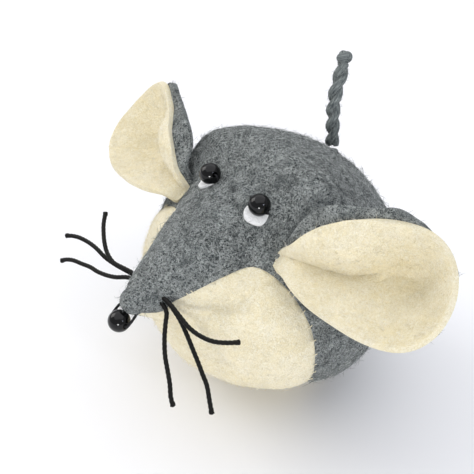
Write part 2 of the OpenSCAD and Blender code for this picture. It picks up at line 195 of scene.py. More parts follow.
def makeFelt(name, finish):
    material, tree = newMaterial(name)
    place = addNode(tree, "ShaderNodeTexCoord").outputs["Object"]
    cloud = addNode(tree, "ShaderNodeTexNoise", inputs={"Vector": place, "Scale": 1 / cloudSize, "Detail": 3})
    cloudMix = setRamp(addNode(tree, "ShaderNodeValToRGB", inputs={"Fac": cloud.outputs["Fac"]}),
                       [(0.4, black), (0.62, white)])
    colour = addNode(tree, "ShaderNodeMix", {"data_type": "RGBA"},
                     {"Factor": cloudMix, 6: linearColour(finish["ground"]), 7: linearColour(finish["cloud"])})
    grain = addNode(tree, "ShaderNodeTexNoise", inputs={"Vector": place, "Scale": 1 / grainSize, "Detail": 2,
                                                        "Roughness": 0.6, "Distortion": 0.8})
    gap = setRamp(addNode(tree, "ShaderNodeValToRGB", inputs={"Fac": grain.outputs["Fac"]}),
                  [(0.4, white), (0.6, black)])
    gapShare = addNode(tree, "ShaderNodeMath", {"operation": "MULTIPLY"}, {0: gap, 1: finish["grainShare"]})
    colour = addNode(tree, "ShaderNodeMix", {"data_type": "RGBA"},
                     {"Factor": gapShare.outputs[0], 6: colour.outputs[2], 7: linearColour(finish["grain"])})
    heights = []
    # a thin band in the middle of a noise's range draws curly lines, which are the hairs
    layers = [(0.0, hairSpacing * 1.5, "darkHair", "darkShare"), (3.7, hairSpacing, "darkHair", "darkShare"),
              (8.1, hairSpacing * 1.3, "lightHair", "lightShare"), (12.9, hairSpacing, "lightHair", "lightShare"),
              (17.3, hairSpacing * 0.8, "lightHair", "lightShare")]
    for seed, spacing, hair, share in layers:
        curl = addNode(tree, "ShaderNodeTexNoise", {"noise_dimensions": "4D"},
                       {"Vector": place, "W": seed, "Scale": 1 / spacing, "Detail": 1.5, "Roughness": 0.6,
                        "Distortion": 1.2})
        line = setRamp(addNode(tree, "ShaderNodeValToRGB", inputs={"Fac": curl.outputs["Fac"]}),
                       [(0.44, black), (0.485, white), (0.515, white), (0.56, black)])
        tuft = addNode(tree, "ShaderNodeTexNoise", {"noise_dimensions": "4D"},
                       {"Vector": place, "W": seed + 30, "Scale": 1 / hairTufts, "Detail": 2})
        amount = addNode(tree, "ShaderNodeMapRange", inputs={"Value": tuft.outputs["Fac"], "From Min": 0.3,
                                                             "From Max": 0.6, "To Max": finish[share]})
        factor = addNode(tree, "ShaderNodeMath", {"operation": "MULTIPLY"}, {0: line, 1: amount.outputs["Result"]})
        colour = addNode(tree, "ShaderNodeMix", {"data_type": "RGBA"},
                         {"Factor": factor.outputs[0], 6: colour.outputs[2], 7: linearColour(finish[hair])})
        heights.append(factor.outputs[0])
    height = heights[0]
    for extra in heights[1:]:
        height = addNode(tree, "ShaderNodeMath", {"operation": "ADD"}, {0: height, 1: extra}).outputs[0]
    fluff = addNode(tree, "ShaderNodeTexNoise", inputs={"Vector": place, "Scale": 1 / (0.5 * mm), "Detail": 4})
    height = addNode(tree, "ShaderNodeMath", {"operation": "ADD"}, {0: height, 1: fluff.outputs["Fac"]})
    bump = addNode(tree, "ShaderNodeBump", inputs={"Height": height.outputs[0], "Strength": 0.7,
                                                   "Distance": finish["nap"] * mm})
    surface = addNode(tree, "ShaderNodeBsdfPrincipled", inputs={
        "Base Color": colour.outputs[2], "Roughness": 0.95, "IOR": 1.45, "Specular IOR Level": 0.12,
        "Sheen Weight": finish["sheen"], "Sheen Roughness": 0.55, "Normal": bump.outputs["Normal"]})
    addNode(tree, "ShaderNodeOutputMaterial", inputs={"Surface": surface.outputs["BSDF"]})
    return material


# Spun yarn and cord: the fibres run along each ply, so the colour streaks along the strand's own length
# (UV map: U along the strand, V round it). Wax on the whisker cord gives it a dull gloss.
yarnFinishes = {
    "blackWaxedCord": {"ground": "#060605", "streak": "#171512", "roughness": 0.5, "specular": 0.2,
                       "fibre": 0.12, "depth": 0.05},
    "blackThread": {"ground": "#0C0C0D", "streak": "#26262A", "roughness": 0.6, "specular": 0.3,
                    "fibre": 0.1, "depth": 0.04},
    "greyWoolYarn": {"ground": "#4F5557", "streak": "#8E9492", "roughness": 0.95, "specular": 0.1,
                     "fibre": 0.25, "depth": 0.2},
    "greyThread": {"ground": "#666C6D", "streak": "#8A908F", "roughness": 0.85, "specular": 0.15,
                   "fibre": 0.1, "depth": 0.04},
    "creamThread": {"ground": "#E9DFC4", "streak": "#F8F1DC", "roughness": 0.85, "specular": 0.15,
                    "fibre": 0.1, "depth": 0.04},
}


def makeYarn(name, finish):
    material, tree = newMaterial(name)
    uv = addNode(tree, "ShaderNodeTexCoord").outputs["UV"]
    # UV is in millimetres along and round the strand; hairs are drawn five times as long as wide
    stretch = addNode(tree, "ShaderNodeMapping", inputs={"Vector": uv, "Scale": (0.2, 1.0, 1.0)})
    hairs = addNode(tree, "ShaderNodeTexNoise", inputs={"Vector": stretch.outputs["Vector"],
                                                        "Scale": 1 / finish["fibre"], "Detail": 4})
    streak = setRamp(addNode(tree, "ShaderNodeValToRGB", inputs={"Fac": hairs.outputs["Fac"]}),
                     [(0.38, black), (0.66, white)])
    colour = addNode(tree, "ShaderNodeMix", {"data_type": "RGBA"},
                     {"Factor": streak, 6: linearColour(finish["ground"]), 7: linearColour(finish["streak"])})
    bump = addNode(tree, "ShaderNodeBump", inputs={"Height": hairs.outputs["Fac"], "Strength": 0.8,
                                                   "Distance": finish["depth"] * mm})
    surface = addNode(tree, "ShaderNodeBsdfPrincipled", inputs={
        "Base Color": colour.outputs[2], "Roughness": finish["roughness"], "IOR": 1.5,
        "Specular IOR Level": finish["specular"], "Normal": bump.outputs["Normal"]})
    addNode(tree, "ShaderNodeOutputMaterial", inputs={"Surface": surface.outputs["BSDF"]})
    return material


# Pressed black glass, fire-polished: a deep clean gloss, with the faint ripple that the mould leaves.
beadFinish = {"colour": "#050506", "roughness": 0.04, "ripple": 1.6 * mm, "rippleDepth": 0.004 * mm}


def makeBeadGlass(name, finish):
    material, tree = newMaterial(name)
    place = addNode(tree, "ShaderNodeTexCoord").outputs["Object"]
    ripple = addNode(tree, "ShaderNodeTexNoise", inputs={"Vector": place, "Scale": 1 / finish["ripple"],
                                                         "Detail": 1})
    bump = addNode(tree, "ShaderNodeBump", inputs={"Height": ripple.outputs["Fac"], "Strength": 0.5,
                                                   "Distance": finish["rippleDepth"]})
    surface = addNode(tree, "ShaderNodeBsdfPrincipled", inputs={
        "Base Color": linearColour(finish["colour"]), "Roughness": finish["roughness"], "IOR": 1.5,
        "Specular IOR Level": 0.35, "Normal": bump.outputs["Normal"]})
    addNode(tree, "ShaderNodeOutputMaterial", inputs={"Surface": surface.outputs["BSDF"]})
    return material


# Polyester toy filling: a white cloud of crimped fibre with soft hollows between its lumps; the hollows are painted
# greyer, as shade.
def makeFibrefill(name):
    material, tree = newMaterial(name)
    place = addNode(tree, "ShaderNodeTexCoord").outputs["Object"]
    lumps = addNode(tree, "ShaderNodeTexNoise", inputs={"Vector": place, "Scale": 1 / (2.5 * mm), "Detail": 6,
                                                        "Roughness": 0.7})
    # painted shade: the noise that raises the lumps also turns the hollows between them grey
    colour = setRamp(addNode(tree, "ShaderNodeValToRGB", inputs={"Fac": lumps.outputs["Fac"]}),
                     [(0.35, linearColour("#DADCDD")), (0.6, linearColour("#FAFAFA"))])
    bump = addNode(tree, "ShaderNodeBump", inputs={"Height": lumps.outputs["Fac"], "Strength": 0.8,
                                                   "Distance": 0.5 * mm})
    surface = addNode(tree, "ShaderNodeBsdfPrincipled", inputs={
        "Base Color": colour, "Roughness": 0.9, "Specular IOR Level": 0.2, "Sheen Weight": 0.3,
        "Normal": bump.outputs["Normal"]})
    addNode(tree, "ShaderNodeOutputMaterial", inputs={"Surface": surface.outputs["BSDF"]})
    return material


# Single wool hairs, some dyed light and some dark, each one colour along its length.
hairFinishes = {"lightWoolHair": ("#8F9593", "#D8DBD9"), "darkWoolHair": ("#15191B", "#3A3F41"),
                "greyWoolHair": ("#33383A", "#C4C8C6"), "creamWoolHair": ("#E4D9B8", "#FFFBEF")}


def makeWoolHair(name, colours):
    material, tree = newMaterial(name)
    place = addNode(tree, "ShaderNodeTexCoord").outputs["Object"]
    lot = addNode(tree, "ShaderNodeTexNoise", inputs={"Vector": place, "Scale": 1 / (0.9 * mm), "Detail": 1})
    colour = setRamp(addNode(tree, "ShaderNodeValToRGB", inputs={"Fac": lot.outputs["Fac"]}),
                     [(0.42, linearColour(colours[0])), (0.58, linearColour(colours[1]))])
    surface = addNode(tree, "ShaderNodeBsdfPrincipled", inputs={
        "Base Color": colour, "Roughness": 0.8, "IOR": 1.55, "Specular IOR Level": 0.15})
    addNode(tree, "ShaderNodeOutputMaterial", inputs={"Surface": surface.outputs["BSDF"]})
    return material


finishes = {name: makeFelt(name, finish) for name, finish in feltFinishes.items()}
finishes.update({name: makeYarn(name, finish) for name, finish in yarnFinishes.items()})
finishes.update({name: makeWoolHair(name, colours) for name, colours in hairFinishes.items()})
finishes["blackBeadGlass"] = makeBeadGlass("blackBeadGlass", beadFinish)
finishes["toyFibrefill"] = makeFibrefill("toyFibrefill")
print("materials made")


# Pieces

def finishPiece(name, bm, finish, body, nodes=(), smooth=True):
    # body is left out for a piece that bends between two bodies, and such a piece is attached to no body
    mesh = bpy.data.meshes.new(name)
    bm.to_mesh(mesh)
    bm.free()
    mesh.materials.append(finishes[finish])
    mesh.polygons.foreach_set("use_smooth", [smooth] * len(mesh.polygons))
    piece = bpy.data.objects.new(name, mesh)
    bpy.context.scene.collection.objects.link(piece)
    if body:
        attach(piece, body)
    if nodes:
        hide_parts(*nodes)
    return piece


def addTube(bm, path, sides, radiusAt, twistAt=None):
    # a grid rolled round a path: rings along it, sides round it; UV in millimetres
    before = set(bm.verts)
    rings = len(path)
    made = bmesh.ops.create_grid(bm, x_segments=rings - 1, y_segments=sides, size=1.0)["verts"]
    uvLayer = bm.loops.layers.uv.verify()
    lengths = [0.0]
    for i in range(1, rings):
        lengths.append(lengths[-1] + (path[i] - path[i - 1]).length)
    ahead = [(path[min(i + 1, rings - 1)] - path[max(i - 1, 0)]).normalized() for i in range(rings)]
    side = [ahead[0].orthogonal().normalized()]
    for i in range(1, rings):
        turned = side[-1] - ahead[i] * side[-1].dot(ahead[i])
        side.append(turned.normalized())
    place = {}
    for v in made:
        place[v] = (round((v.co.x + 1) / 2 * (rings - 1)), round((v.co.y + 1) / 2 * sides) / sides)
    faces = {f for v in made for f in v.link_faces}
    for f in faces:
        for loop in f.loops:
            i, share = place[loop.vert]
            radius = radiusAt(lengths[i], lengths[-1], 0.0)
            loop[uvLayer].uv = (lengths[i] / mm, share * 2 * math.pi * radius / mm)
    for v in made:
        i, share = place[v]
        angle = 2 * math.pi * share
        radius = radiusAt(lengths[i], lengths[-1], angle)
        turn = angle + (twistAt(lengths[i]) if twistAt else 0.0)
        v.co = path[i] + radius * (math.cos(turn) * side[i] + math.sin(turn) * ahead[i].cross(side[i]))
    bmesh.ops.remove_doubles(bm, verts=made, dist=0.002 * mm)
    new = [v for v in bm.verts if v not in before]
    rims = [e for e in {e for v in new for e in v.link_edges} if e.is_boundary]
    bmesh.ops.holes_fill(bm, edges=rims, sides=0)
    bmesh.ops.recalc_face_normals(bm, faces=list({f for v in new for f in v.link_faces}))


# Whiskers: three cords drawn right through the snout

whiskerHole = Vector((0, -28.4, 40.3)) * mm  # middle of the hole through the snout
whiskerRoutes = {
    "upper": [(25, 4.5, -1), (22.5, 3, -2), (20, 1.5, -2.5), (17, 0.5, -2.5), (14, 0, -2), (11, 0, -1),
              (8.5, 0, 0), (6.5, 0, 0.5), (4, 0, 0.6), (0, 0, 0.6), (-4, 0, 0.6), (-6.5, 0, 0.5),
              (-9, -0.5, 0.5), (-12, -1, 0.5), (-15, -0.5, 1), (-17.5, 0.5, 2), (-20, 2, 3),
              (-22, 3.5, 4), (-24, 5.5, 5)],
    "middle": [(26, -4, -15.5), (24, -3, -13.5), (22, -2, -11.5), (20, -1.5, -10), (18, -1, -8.5),
               (15.5, -0.5, -6.5), (13, 0, -4.5), (10.5, 0.5, -3), (8.5, 0.5, -1.5), (6.5, 0.5, -0.5),
               (4, 0.5, -0.3), (0, 0.5, -0.3), (-4, 0.5, -0.3), (-6.5, 0.5, -0.5), (-9.5, 0, -0.5),
               (-12.5, -0.5, -0.5), (-15.5, -1, 0), (-18.5, -1, 0.5), (-21.5, -1, 0.5),
               (-24.5, -1.5, 0.5), (-27, -2, 0), (-29, -3, -0.5)],
    "lower": [(19.5, -9, -15), (18, -8.5, -13.5), (16.5, -7.5, -11.5), (14.5, -6.5, -9.5),
              (12.5, -5.5, -7.5), (10.5, -4, -5), (9, -2.5, -3), (7.5, -1, -1.5), (5.5, -0.6, -0.5),
              (4, -0.6, -0.3), (0, -0.6, -0.3), (-4, -0.6, -0.3), (-5.5, -0.6, -0.4), (-7.5, -1, -1),
              (-10, -2, -2), (-13, -2.5, -3), (-16, -3, -3.5), (-19, -3, -4), (-22, -3.5, -4.5),
              (-25, -4, -5), (-27.5, -4.5, -6), (-29, -5, -7)],
}
whiskerCord = {"diameter": 1.0 * mm, "plies": 3, "lay": 3.0 * mm, "ringLength": 0.22 * mm, "sides": 18,
               "plyDepth": 0.17, "cutFlare": 0.22, "cutLength": 1.6 * mm}


def whiskerRadius(along, whole, angle):
    # three plies bulge out of the round, and the glued cut ends are a little fatter
    fromEnd = min(along, whole - along)
    flare = 1 + whiskerCord["cutFlare"] * (1 - smoothStep(0, whiskerCord["cutLength"], fromEnd))
    bulge = 1 - whiskerCord["plyDepth"] * (1 - abs(math.cos(whiskerCord["plies"] * angle / 2)))
    tip = math.sqrt(max(0.05, 1 - (1 - min(1, fromEnd / (0.25 * mm))) ** 2))
    return whiskerCord["diameter"] / 2 * 1.06 * flare * bulge * tip


def makeWhiskers():
    for name, route in whiskerRoutes.items():
        points = [whiskerHole + Vector(p) * mm for p in route]
        whole = evenPath(smoothPath(points, 6), 60)[1]
        path, whole = evenPath(smoothPath(points, 6), round(whole / whiskerCord["ringLength"]))
        bm = bmesh.new()
        addTube(bm, path, whiskerCord["sides"], whiskerRadius, lambda s: 2 * math.pi * s / whiskerCord["lay"])
        piece = finishPiece(f"whisker_{name}_cord", bm, "blackWaxedCord", "body",
                            [f"whisker_{name}"])
        print("whisker", name, round(whole / mm, 1), "mm")


makeWhiskers()


# Shape of the stuffed body

skinLow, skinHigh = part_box("skin_back")
bodyShape = {"restWidth": 25 * mm, "felt": 1.3 * mm, "snoutRise": 7 * mm, "snoutLift": 2.7 * mm,
             "snoutSpread": 25.5, "snoutTip": 3.4 * mm, "snoutBulge": 2.2 * mm, "cap": 3 * mm, "snoutStretch": 1.2 * mm,
             "chestDrop": 0.26, "hump": 0.07, "crease": 1.5 * mm}
ballRadius = (skinHigh.x - skinLow.x) / 2
ballAhead = ballRadius - skinHigh.y           # the ball's centre stands this far ahead of the origin
snoutReach = -(skinLow.y + ballAhead) + bodyShape["snoutStretch"]
restRise = math.sqrt(ballRadius ** 2 - (bodyShape["restWidth"] / 2) ** 2)
ballCentre = Vector((0, -ballAhead, restRise))


def coneRadius(d):
    s = snoutReach - bodyShape["cap"] - d
    if s > 0:
        share = min(1, s / (snoutReach - bodyShape["cap"]))
        return (bodyShape["snoutTip"] + s * math.tan(math.radians(bodyShape["snoutSpread"]))
                + bodyShape["snoutBulge"] * math.sin(math.pi * share))
    return bodyShape["snoutTip"] * math.sqrt(max(0, 1 - (s / bodyShape["cap"]) ** 2))


def ballHalf(d):
    return math.sqrt(max(0, ballRadius ** 2 - d * d))


def headRadius(d):
    if d > ballRadius / 2:
        return coneRadius(d)
    return max(0.01 * mm, softMin(coneRadius(d), ballHalf(d) - bodyShape["snoutRise"] + 2 * max(0, d), 3 * mm))


def headHeight(d):
    return bodyShape["snoutRise"] + bodyShape["snoutLift"] * smoothStep(0, snoutReach, d)


def lobeHeight(d):
    along = d / ballRadius
    chest = bodyShape["chestDrop"] * smoothStep(0, 0.5, along)
    hump = bodyShape["hump"] * smoothStep(-0.75, -0.1, along) * smoothStep(0.4, 0, along)
    return ballHalf(d) * (1 - chest + hump)


def bodyReach(d, q, f):
    # distance from height q on the middle plane to the skin, at the angle f from straight up
    ux, uz = math.sin(f), math.cos(f)
    o = q - headHeight(d)
    e = (o * uz) ** 2 - o * o + headRadius(d) ** 2
    head = max(0, math.sqrt(e) - o * uz) if e > 0 and headRadius(d) > 0.1 * mm else 0
    trunk = 0
    for w, h, side in ((ballHalf(d), lobeHeight(d), 1), (ballHalf(d), ballHalf(d), -1)):
        if w < 0.001 * mm:
            continue
        a, b, c = (ux / w) ** 2 + (uz / h) ** 2, q * uz / (h * h), (q / h) ** 2 - 1
        e = b * b - a * c
        t = (math.sqrt(e) - b) / a if e > 0 else 0
        if t > 0 and side * (q + t * uz) >= -1e-9:
            trunk = max(trunk, t)
    return softMax(head, trunk, bodyShape["crease"])


def bodyPoint(d, f):
    # a place on the skin: d ahead of the ball's centre, turned f from straight up towards the left
    q = headHeight(d) * smoothStep(0, 0.9 * ballRadius, d)
    t = bodyReach(d, q, f)
    return Vector((t * math.sin(f), -d, q + t * math.cos(f)))


# The belly seam from the side: ahead of the ball's centre, and above it.
seamPoints = [(snoutReach + 20 * mm, 6.3 * mm), (snoutReach - 4 * mm, 7.3 * mm),
              (snoutReach - 9 * mm, 11 * mm), (0.75 * ballRadius, 15.3 * mm), (0.52 * ballRadius, 15.8 * mm),
              (0.43 * ballRadius, 0.2 * ballRadius), (0.38 * ballRadius, -0.2 * ballRadius),
              (0.27 * ballRadius, -0.62 * ballRadius), (0.05 * ballRadius, -0.8 * ballRadius),
              (-0.35 * ballRadius, -0.83 * ballRadius), (-2 * ballRadius, -0.83 * ballRadius)]
seamLine = smoothPath([Vector(p) for p in seamPoints], 6)


def seamSide(co):
    # distance from the seam as seen from the side; the grey back is positive
    p = Vector((-(co.y - ballCentre.y), co.z - ballCentre.z))
    best, signed = 1.0, 1.0
    for a, b in zip(seamLine, seamLine[1:]):
        along = b - a
        t = max(0.0, min(1.0, (p - a).dot(along) / along.length_squared))
        off = p - (a + along * t)
        if off.length < best:
            best = off.length
            signed = math.copysign(best, off.y * along.x - off.x * along.y)
    return -signed


bodyMesh = {"round": 144, "long": 110, "lump": 0.35 * mm, "lumpSize": 9 * mm, "pinch": 0.75 * mm,
            "pinchWidth": 1.5 * mm, "browLift": 2.4 * mm, "underTuck": 1.9 * mm}


def bodyStation(share):
    # share 0 is the snout's tip and 1 is the rump; stations crowd at both round ends
    last = ballRadius * math.sin(math.radians(60))
    cap = bodyShape["cap"]
    if share > 0.38:
        return ballRadius * math.sin(math.radians(60 - 150 * (share - 0.38) / 0.62))
    if share > 0.1:
        return last + (snoutReach - cap - last) * (0.38 - share) / 0.28
    return snoutReach - cap + cap * math.cos(math.radians(90 * share / 0.1))


def shapeBody(bm):
    # an ordinary sphere is moved, point by point, onto the stuffed shape
    bmesh.ops.create_uvsphere(bm, u_segments=bodyMesh["round"], v_segments=bodyMesh["long"], radius=1.0)
    for v in bm.verts:
        share = math.acos(max(-1, min(1, v.co.z))) / math.pi
        f = math.atan2(v.co.x, v.co.y)
        if share < 1e-4 or share > 1 - 1e-4:
            f = 0.0
        d = bodyStation(share)
        p = bodyPoint(d, f)
        brow = hill(d, 0.02 * ballRadius, 8 * mm) * (hill(f, 0.7, 0.4) + hill(f, -0.7, 0.4))
        under = hill(p.z, -25 * mm, 7 * mm) * smoothStep(-4 * mm, 10 * mm, d)
        p *= 1 + (bodyMesh["browLift"] * brow - bodyMesh["underTuck"] * under) / max(p.length, 1 * mm)
        v.co = ballCentre + p


bodyBm = bmesh.new()
shapeBody(bodyBm)
bmesh.ops.recalc_face_normals(bodyBm, faces=bodyBm.faces)
if bodyBm.calc_volume(signed=True) < 0:
    bmesh.ops.reverse_faces(bodyBm, faces=bodyBm.faces)
print("body shaped", len(bodyBm.verts), "points")


def cutAtSeam(bm):
    # new points where edges cross the seam, joined through each face they cross
    side = {v: seamSide(v.co) for v in bm.verts}
    for v in list(side):
        if abs(side[v]) < 0.02 * mm:
            side[v] = 0.0
    onSeam = [v for v in side if side[v] == 0.0]
    for e in [e for e in bm.edges if side[e.verts[0]] * side[e.verts[1]] < 0]:
        a, b = e.verts
        share = side[a] / (side[a] - side[b])
        onSeam.append(bmesh.utils.edge_split(e, a, share)[1])
    bmesh.ops.connect_verts(bm, verts=onSeam)
    bmesh.ops.dissolve_degenerate(bm, edges=bm.edges, dist=0.05 * mm)
    for f in bm.faces:
        f.material_index = 1 if seamSide(f.calc_center_median()) < 0 else 0
    return [e for e in bm.edges if len({f.material_index for f in e.link_faces}) == 2]


seamEdges = cutAtSeam(bodyBm)
print("seam cut", len(seamEdges), "edges")


def softenSkin(bm, seam):
    # stuffing lumps, and the valley that the sewing pulls along the seam
    tree = KDTree(len(seam))
    for i, e in enumerate(seam):
        tree.insert((e.verts[0].co + e.verts[1].co) / 2, i)
    tree.balance()
    bm.normal_update()
    moves = {}
    for v in bm.verts:
        near = tree.find(v.co)[2]
        pinch = bodyMesh["pinch"] * hill(near, 0, bodyMesh["pinchWidth"])
        lump = noise.noise(v.co / bodyMesh["lumpSize"]) + 0.4 * noise.noise(v.co / bodyMesh["lumpSize"] * 2.3)
        moves[v] = v.co + v.normal * (bodyMesh["lump"] * lump - pinch)
    for v, co in moves.items():
        v.co = co
        v.co.z = softMax(co.z, 0.0, 0.6 * mm) if co.z < 3 * mm else co.z
    bm.normal_update()


softenSkin(bodyBm, seamEdges)


def panelOf(index):
    bm = bodyBm.copy()
    bmesh.ops.delete(bm, geom=[f for f in bm.faces if f.material_index != index], context="FACES")
    for f in bm.faces:
        f.material_index = 0
    return bm


def addThickness(piece, thickness):
    # the felt's thickness goes inwards, so the outside keeps its shape
    wall = piece.modifiers.new("feltThickness", "SOLIDIFY")
    wall.thickness = thickness
    wall.offset = -1


greyBack = finishPiece("back_panel", panelOf(0), "greyFelt", "body", ["skin_back"])
creamBelly = finishPiece("belly_panel", panelOf(1), "creamFelt", "body", ["skin_belly"])
for panel in (greyBack, creamBelly):
    addThickness(panel, bodyShape["felt"])
print("panels made")


# Loose hairs that stand off the felt; each one is a thin tapered strand, curled and mostly lying down
hairShape = {"length": 2.1 * mm, "radius": 0.042 * mm, "lie": 0.22, "stand": 0.9, "standing": 0.35, "curl": 0.6,
             "rooted": 0.15 * mm, "floor": 0.05 * mm}


def makeHairs(name, skinFaces, doublings, finish, body, seed, lengthShare=1.0):
    # one strand is doubled until there are enough, then each copy is laid on its own spot of the felt
    draw = random.Random(seed)
    bm = bmesh.new()
    bmesh.ops.create_cone(bm, cap_ends=True, segments=3, radius1=0.1, radius2=0.035, depth=1.0)
    sideEdges = [e for e in bm.edges if abs(e.verts[0].co.z - e.verts[1].co.z) > 0.5]
    bmesh.ops.subdivide_edges(bm, edges=sideEdges, cuts=2)
    for n in range(doublings):
        copies = bmesh.ops.duplicate(bm, geom=bm.verts[:] + bm.edges[:] + bm.faces[:])["geom"]
        bmesh.ops.translate(bm, vec=(2 ** n, 0, 0), verts=[g for g in copies if isinstance(g, bmesh.types.BMVert)])
    spots = []
    for f in draw.choices(skinFaces, weights=[f.calc_area() for f in skinFaces], k=2 ** doublings):
        a, b = draw.sample(f.verts[:], 2)
        place = f.calc_center_median().lerp(a.co.lerp(b.co, draw.random()), math.sqrt(draw.random()))
        turned = Matrix.Rotation(draw.uniform(0, 2 * math.pi), 3, f.normal) @ f.normal.orthogonal().normalized()
        lean = hairShape["stand"] * draw.random() if draw.random() < hairShape["standing"] else hairShape["lie"] * draw.random()
        length = hairShape["length"] * lengthShare * draw.uniform(0.5, 1.3)
        spots.append((place, f.normal.copy(), turned, lean, length, draw.uniform(-1, 1) * hairShape["curl"]))
    for v in bm.verts:
        index = round(v.co.x)
        place, up, ahead, lean, length, curl = spots[index]
        t = v.co.z + 0.5
        side = up.cross(ahead)
        rise = math.sin(lean) * t - 0.25 * math.sin(lean) * t * t
        path = ahead * t * math.cos(lean) + side * curl * t * t + up * rise
        round1 = ((v.co.x - index) * side + v.co.y * up) * hairShape["radius"] / 0.1
        v.co = place + (0.02 * mm - hairShape["rooted"] * (1 - t)) * up + path * length + round1
        v.co.z = max(v.co.z, hairShape["floor"])
    bmesh.ops.recalc_face_normals(bm, faces=bm.faces)
    return finishPiece(name, bm, finish, body)


backFaces = [f for f in bodyBm.faces if f.material_index == 0]
makeHairs("back_light_hairs", backFaces, 13, "lightWoolHair", "body", seed=11)
makeHairs("back_dark_hairs", backFaces, 12, "darkWoolHair", "body", seed=13)
makeHairs("belly_hairs", [f for f in bodyBm.faces if f.material_index == 1], 12, "creamWoolHair", "body",
          seed=12, lengthShare=0.8)
bodyTree = BVHTree.FromBMesh(bodyBm)
print("hairs laid on the body")


# The filling: one loose lump a little inside the skin
fillingShape = {"inside": 1.7 * mm, "lump": 0.35 * mm, "lumpSize": 4 * mm}


def makeFilling():
    bm = bodyBm.copy()
    bmesh.ops.dissolve_degenerate(bm, edges=bm.edges, dist=0.2 * mm)
    bm.normal_update()
    for v, normal in [(v, v.normal.copy()) for v in bm.verts]:
        lump = fillingShape["lump"] * noise.noise(v.co / fillingShape["lumpSize"])
        v.co -= normal * (fillingShape["inside"] - min(lump, 0.2 * mm))
    bmesh.ops.smooth_vert(bm, verts=bm.verts, factor=0.5, use_axis_x=True, use_axis_y=True, use_axis_z=True)
    piece = finishPiece("filling", bm, "toyFibrefill", "body", ["stuffing"])


makeFilling()


# Overcast stitches that pull the two panels together, low in the valley of the seam
seamStitch = {"length": 1.2 * mm, "diameter": 0.26 * mm, "spacing": 3.1 * mm, "low": 5 * mm, "high": 41.5 * mm,
              "slant": 0.35}


def addThread(bm, points, diameter, sides=8, steps=4):
    # a short length of two-ply thread with round ends
    path, whole = evenPath(smoothPath(points, 6), steps * (len(points) - 1))
    addTube(bm, path, sides, lambda s, w, a: diameter / 2 * (1 - 0.12 * (1 - abs(math.cos(a))))
            * math.sqrt(max(0.1, 1 - (1 - min(1, min(s, w - s) / (diameter / 2))) ** 2)),
            lambda s: 2 * math.pi * s / (2.6 * diameter))


def makeSeamStitches():
    bm = bmesh.new()
    made = 0
    for side in (1, -1):
        spots = []
        for e in seamEdges:
            middle = (e.verts[0].co + e.verts[1].co) / 2
            if middle.x * side > 0 and seamStitch["low"] < middle.z < seamStitch["high"] and middle.y > -24 * mm:
                spots.append((middle, (e.verts[1].co - e.verts[0].co).normalized()))
        spots.sort(key=lambda spot: spot[0].z)
        last = None
        for middle, along in spots:
            if last is not None and (middle - last).length < seamStitch["spacing"]:
                continue
            last = middle
            skin, out = bodyTree.find_nearest(middle)[:2]
            across = (along.cross(out) + seamStitch["slant"] * along).normalized() * seamStitch["length"] / 2
            points = [middle + across * share + out * lift * mm
                      for share, lift in ((-1.0, -0.15), (-0.6, 0.2), (0.0, 0.1), (0.6, 0.2), (1.0, -0.15))]
            addThread(bm, points, seamStitch["diameter"])
            made += 1
    finishPiece("seam_stitches", bm, "creamThread", "body", ["belly_stitches"])
    print("seam stitches", made)


makeSeamStitches()


# Ears: two layers of felt each, pleated at the root and cupped forward

earShape = {"length": 39.2 * mm, "half": 12.9 * mm, "widest": 0.68, "rootHalf": 3.0 * mm, "tuck": 0.4 * mm,
            "roll": -132, "raise": 1, "sweep": 22, "felt": 1.3 * mm, "gap": 0.05 * mm,
            "upperCup": 9.4 * mm, "lowerCup": 7.4 * mm, "tipCup": 7.4 * mm, "seat": 3.8 * mm,
            "border": 5.4 * mm, "trim": 2.3 * mm, "sink": 3.0 * mm, "bendStart": -1 * mm, "bendEnd": 5 * mm,
            "spokes": 168, "rings": 44, "trough": 1.8 * mm, "deep": 3.4 * mm}


def earPlace(side):
    # the ear's own axes: X along it, -Y its upper edge, -Z its hollow front
    root = Vector(joints["ear_left_fold"]["pos_m"])
    turn = (Matrix.Rotation(math.radians(earShape["sweep"]), 3, "Z")
            @ Matrix.Rotation(math.radians(-earShape["raise"]), 3, "Y")
            @ Matrix.Rotation(math.radians(earShape["roll"]), 3, "X"))
    place = Matrix.Translation(root) @ turn.to_4x4()
    return Matrix.Diagonal((side, 1, 1, 1)) @ place


def leafHalf(u):
    # half the width of the leaf: a slim root, widest two thirds along, and a blunt round end
    if u < earShape["widest"]:
        t = (earShape["widest"] - max(0, u)) / (earShape["widest"] + 0.02)
        return max(earShape["rootHalf"], earShape["half"] * (1 - t ** 1.8) ** 0.9)
    t = min(1, (u - earShape["widest"]) / (1 - earShape["widest"]))
    return earShape["half"] * math.sqrt(max(0, 1 - t ** 2.5))


def leafMiddle(u):
    return (0.8 + 1.1 * (1 - smoothStep(0.1, 0.5, u))) * mm


def borderWidth(u):
    # the grey layer is cut wider than the lining along the upper edge, most of all near the root
    wide = earShape["border"] * (1 - 0.62 * smoothStep(0.18, 0.5, u)) * smoothStep(-0.02, 0.15, u)
    return wide * (1 - smoothStep(0.6, 0.92, u)) - earShape["trim"] * smoothStep(0.55, 0.9, u)


def inLeaf(x, y, front):
    # whether a place lies on the cut leaf; the back layer has its border, and is trimmed elsewhere
    trim = 0 if front else earShape["trim"]
    if x < -earShape["tuck"] or x > earShape["length"] - trim:
        return False
    u = x / earShape["length"]
    off = y - leafMiddle(u)
    upper = leafHalf(u) + (0 if front else borderWidth(u))
    return -upper <= off <= leafHalf(u) - trim


leafCentre = Vector((0.55 * earShape["length"], leafMiddle(0.55)))


